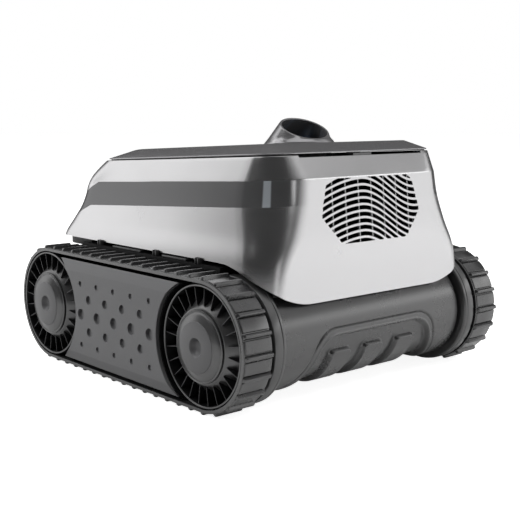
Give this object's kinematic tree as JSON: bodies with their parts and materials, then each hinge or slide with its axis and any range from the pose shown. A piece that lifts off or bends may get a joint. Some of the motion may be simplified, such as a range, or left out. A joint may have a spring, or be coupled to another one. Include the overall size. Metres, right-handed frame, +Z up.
{
  "type": "pool cleaner",
  "caption": "Tracked robotic pool cleaner: silver hood with a vented rear, hinged dark lid with outlet nozzle, rubber tracks and a front roller brush.",
  "frame": {"origin": "on the floor, at the middle of the cleaner's footprint", "axes": "+Z up, +Y the direction of travel (brush end), +X the right-hand side, seen from behind"},
  "size_m": [0.377, 0.4096, 0.2737],
  "materials": {
    "silver_paint": "silver metallic paint on moulded plastic",
    "lid_gloss": "dark grey, smooth",
    "dark_satin": "dark grey, satin",
    "cover_grain": "dark grey, fine moulded grain",
    "black_plastic": "black",
    "track_rubber": "black rubber",
    "steel": "plain stainless steel",
    "foam": "closed-cell foam",
    "filter_fabric": "fine filter mesh",
    "blue_rubber": "soft blue rubber"
  },
  "bodies": {
    "root": {"hood": "silver_paint", "vent_grille": "silver_paint", "lid_hinge_pin": "steel", "lower_casing": "black_plastic", "rear_tube": "dark_satin", "grip_panel": "dark_satin", "end_ring_rear_left": "dark_satin", "end_ring_rear_right": "dark_satin", "end_ring_front_left": "dark_satin", "end_ring_front_right": "dark_satin", "track_frame_left": "black_plastic", "track_frame_right": "black_plastic", "side_cover_left": "cover_grain", "side_cover_right": "cover_grain", "track_belt_left": "track_rubber", "track_belt_right": "track_rubber", "wheel_bearing_rear_left": "steel", "wheel_bearing_rear_right": "steel", "wheel_bearing_front_left": "steel", "wheel_bearing_front_right": "steel", "drive_motor_left": "black_plastic", "drive_motor_right": "black_plastic", "brush_bush_left": "steel", "brush_bush_right": "steel", "pump_motor": "black_plastic", "outlet_duct": "black_plastic", "duct_seal": "blue_rubber", "intake_duct": "black_plastic", "filter_basket": "filter_fabric", "battery_pack": "black_plastic", "control_box": "black_plastic", "float_foam": "foam", "charge_socket": "black_plastic", "casing_screw_rear_left": "steel", "casing_screw_rear_right": "steel", "casing_screw_front_left": "steel", "casing_screw_front_right": "steel"},
    "wheel_rear_left": {"track_wheel_rear_left": "black_plastic", "hub_cap_rear_left": "dark_satin", "axle_rear_left": "steel"},
    "wheel_rear_right": {"track_wheel_rear_right": "black_plastic", "hub_cap_rear_right": "dark_satin", "axle_rear_right": "steel"},
    "wheel_front_left": {"track_wheel_front_left": "black_plastic", "hub_cap_front_left": "dark_satin", "axle_front_left": "steel"},
    "wheel_front_right": {"track_wheel_front_right": "black_plastic", "hub_cap_front_right": "dark_satin", "axle_front_right": "steel"},
    "brush": {"brush_core": "black_plastic", "brush_sleeve": "blue_rubber"},
    "pump_rotor": {"pump_shaft": "steel", "impeller": "blue_rubber"},
    "lid": {"lid": "lid_gloss", "outlet_nozzle": "lid_gloss"},
    "latch": {"lid_latch": "dark_satin"},
    "flap_rear": {"intake_flap_rear": "blue_rubber"},
    "flap_front": {"intake_flap_front": "blue_rubber"},
    "button": {"power_button": "dark_satin"},
    "cap": {"charge_cap": "dark_satin"}
  },
  "joints": [
    {"name": "wheel_rear_left_spin", "type": "hinge", "parent": "root", "child": "wheel_rear_left", "pos_m": [-0.166, -0.1392, 0.0658], "axis": [1, 0, 0], "continuous": true},
    {"name": "wheel_rear_right_spin", "type": "hinge", "parent": "root", "child": "wheel_rear_right", "pos_m": [0.166, -0.1392, 0.0658], "axis": [1, 0, 0], "continuous": true},
    {"name": "wheel_front_left_spin", "type": "hinge", "parent": "root", "child": "wheel_front_left", "pos_m": [-0.166, 0.1392, 0.0658], "axis": [1, 0, 0], "continuous": true},
    {"name": "wheel_front_right_spin", "type": "hinge", "parent": "root", "child": "wheel_front_right", "pos_m": [0.166, 0.1392, 0.0658], "axis": [1, 0, 0], "continuous": true},
    {"name": "brush_spin", "type": "hinge", "parent": "root", "child": "brush", "pos_m": [0, 0.1392, 0.0658], "axis": [1, 0, 0], "continuous": true},
    {"name": "pump_spin", "type": "hinge", "parent": "root", "child": "pump_rotor", "pos_m": [0, -0.078, 0.18], "axis": [0, 0, 1], "continuous": true},
    {"name": "lid_hinge", "type": "hinge", "parent": "root", "child": "lid", "pos_m": [0, 0.1295, 0.2232], "axis": [-1, 0, 0], "range_deg": [0, 90]},
    {"name": "latch_slide", "type": "slide", "parent": "root", "child": "latch", "axis": [0, 1, 0], "range_m": [0, 0.003], "stiffness_N_per_m": 300, "springref_m": -0.002},
    {"name": "flap_rear_hinge", "type": "hinge", "parent": "root", "child": "flap_rear", "pos_m": [0, 0.0016, 0.04], "axis": [1, 0, 0], "range_deg": [0, 75]},
    {"name": "flap_front_hinge", "type": "hinge", "parent": "root", "child": "flap_front", "pos_m": [0, 0.0384, 0.04], "axis": [-1, 0, 0], "range_deg": [0, 75]},
    {"name": "button_press", "type": "slide", "parent": "root", "child": "button", "axis": [-0.9681, 0, -0.2504], "range_m": [0, 0.0016], "stiffness_N_per_m": 400, "springref_m": -0.002},
    {"name": "cap_hinge", "type": "hinge", "parent": "root", "child": "cap", "pos_m": [0.13424, -0.02, 0.18437], "axis": [0, -1, 0], "range_deg": [0, 120]}
  ],
  "couplings": [
    {"joint": "wheel_front_left_spin", "follows": "wheel_rear_left_spin", "ratio": 1},
    {"joint": "wheel_front_right_spin", "follows": "wheel_rear_right_spin", "ratio": 1},
    {"joint": "brush_spin", "follows": "wheel_rear_right_spin", "ratio": 1}
  ]
}
